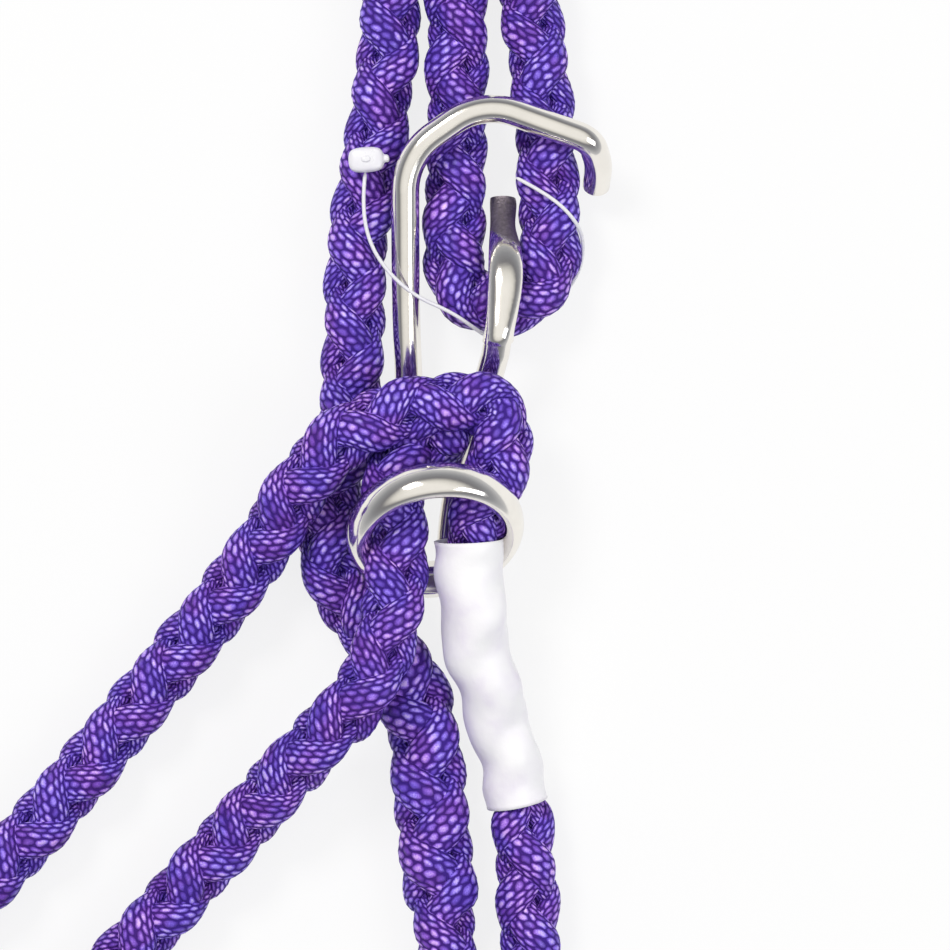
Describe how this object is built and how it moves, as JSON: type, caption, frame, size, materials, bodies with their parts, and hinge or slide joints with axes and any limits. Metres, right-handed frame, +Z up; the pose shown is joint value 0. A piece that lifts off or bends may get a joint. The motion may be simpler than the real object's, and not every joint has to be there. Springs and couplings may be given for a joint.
{
  "type": "head halter",
  "caption": "Plaited rope head halter lying flat, with noseband, crown ropes, hook closing, slide ring, marked sleeve and lead loop with dee.",
  "frame": {"origin": "middle of the laid-out halter, on the surface that it lies on", "axes": "+Y towards the poll, +X towards the near side, +Z up from the surface"},
  "size_m": [0.2701, 0.6476, 0.0388],
  "materials": {
    "rope": "glossy plaited nylon multifilament",
    "twine": "waxed nylon whipping twine",
    "sleeve": "soft white shrink sleeve",
    "polished_steel": "polished stainless rod",
    "tag_plastic": "clear milky nylon"
  },
  "bodies": {
    "halter": {"crown_rope": "rope", "crown_tail": "rope", "nose_rope": "rope", "jaw_rope": "rope", "lead_rope": "rope", "label_sleeve": "sleeve", "off_knot": "rope", "hook_frame": "polished_steel", "slide_ring": "polished_steel"},
    "crown_eye": {"crown_loop": "rope", "crown_seizing": "twine", "tag_lock": "tag_plastic", "tag_filament": "tag_plastic"},
    "dee": {"lead_dee": "polished_steel"}
  },
  "joints": [
    {"name": "loop_slack", "type": "slide", "parent": "halter", "child": "crown_eye", "axis": [0, 1, 0], "range_m": [-0.004, 0.004]},
    {"name": "dee_swing", "type": "hinge", "parent": "halter", "child": "dee", "pos_m": [0.11232, -0.29252, 0.01695], "axis": [-1, 0, 0], "range_deg": [0, 120]}
  ]
}
